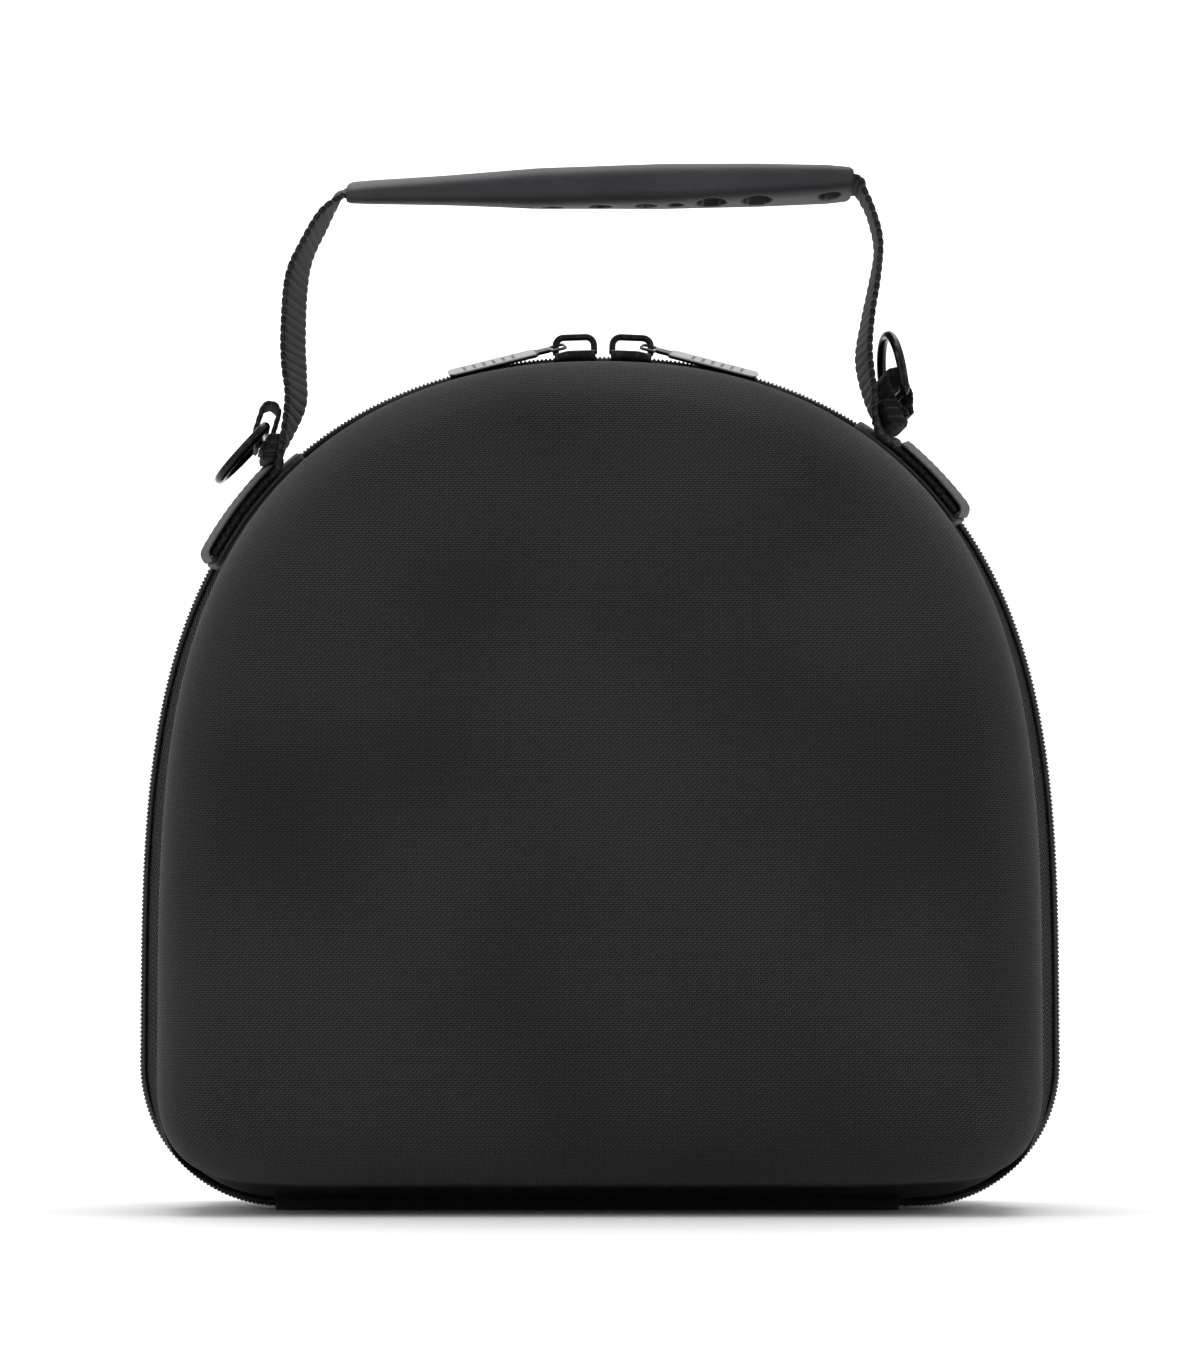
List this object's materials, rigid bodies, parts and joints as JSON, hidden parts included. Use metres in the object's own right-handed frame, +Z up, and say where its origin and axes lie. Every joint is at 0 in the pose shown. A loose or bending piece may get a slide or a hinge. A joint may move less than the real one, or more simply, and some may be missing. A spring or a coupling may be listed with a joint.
{
  "type": "baseball cap carrier case",
  "caption": "Domed moulded-foam carrier case for baseball caps, closed by a zip round its arch, with a webbing carrying handle and D-rings.",
  "frame": {"origin": "middle of the case on the ground under the hinge, at the centre of the bounding box's base", "axes": "+Z up, +X along the width to the right, -Y to the front of the case"},
  "size_m": [0.2896, 0.1636, 0.3276],
  "materials": {
    "shell_fabric": "fine plain weave, matt",
    "zip_tape": "herringbone twill",
    "zip_coil": "semi-matt",
    "hinge_cloth": "matt",
    "slider_enamel": "satin enamel",
    "pull_metal": "satin",
    "patch_leatherette": "matt leatherette",
    "webbing": "ribbed webbing",
    "ring_enamel": "gloss enamel",
    "grip_rubber": "matt"
  },
  "bodies": {
    "case": {"front_shell": "shell_fabric", "back_shell": "shell_fabric", "front_zip_tape": "zip_tape", "back_zip_tape": "zip_tape", "front_zip_coil": "zip_coil", "back_zip_coil": "zip_coil", "hinge_strip": "hinge_cloth", "slider_left": "slider_enamel", "slider_right": "slider_enamel", "patch_left": "patch_leatherette", "patch_right": "patch_leatherette", "strap_left": "webbing", "strap_right": "webbing", "ring_loop_left": "webbing", "ring_loop_right": "webbing", "grip": "grip_rubber"},
    "left_pull": {"pull_left": "pull_metal"},
    "right_pull": {"pull_right": "pull_metal"},
    "left_ring": {"d_ring_left": "ring_enamel"},
    "right_ring": {"d_ring_right": "ring_enamel"}
  },
  "joints": [
    {"name": "pull_left_swing", "type": "hinge", "parent": "case", "child": "left_pull", "pos_m": [-0.01147, 0, 0.27351], "axis": [0, 1, 0], "range_deg": [0, 100]},
    {"name": "pull_right_swing", "type": "hinge", "parent": "case", "child": "right_pull", "pos_m": [0.01351, 0, 0.27339], "axis": [0, -1, 0], "range_deg": [0, 100]},
    {"name": "ring_left_swing", "type": "hinge", "parent": "case", "child": "left_ring", "pos_m": [-0.10511, -0.019, 0.243], "axis": [-0.1083, 0.9936, 0.0331], "range_deg": [0, 120]},
    {"name": "ring_right_swing", "type": "hinge", "parent": "case", "child": "right_ring", "pos_m": [0.0927, -0.019, 0.25292], "axis": [-0.1371, 0.989, -0.0554], "range_deg": [0, 115]}
  ]
}
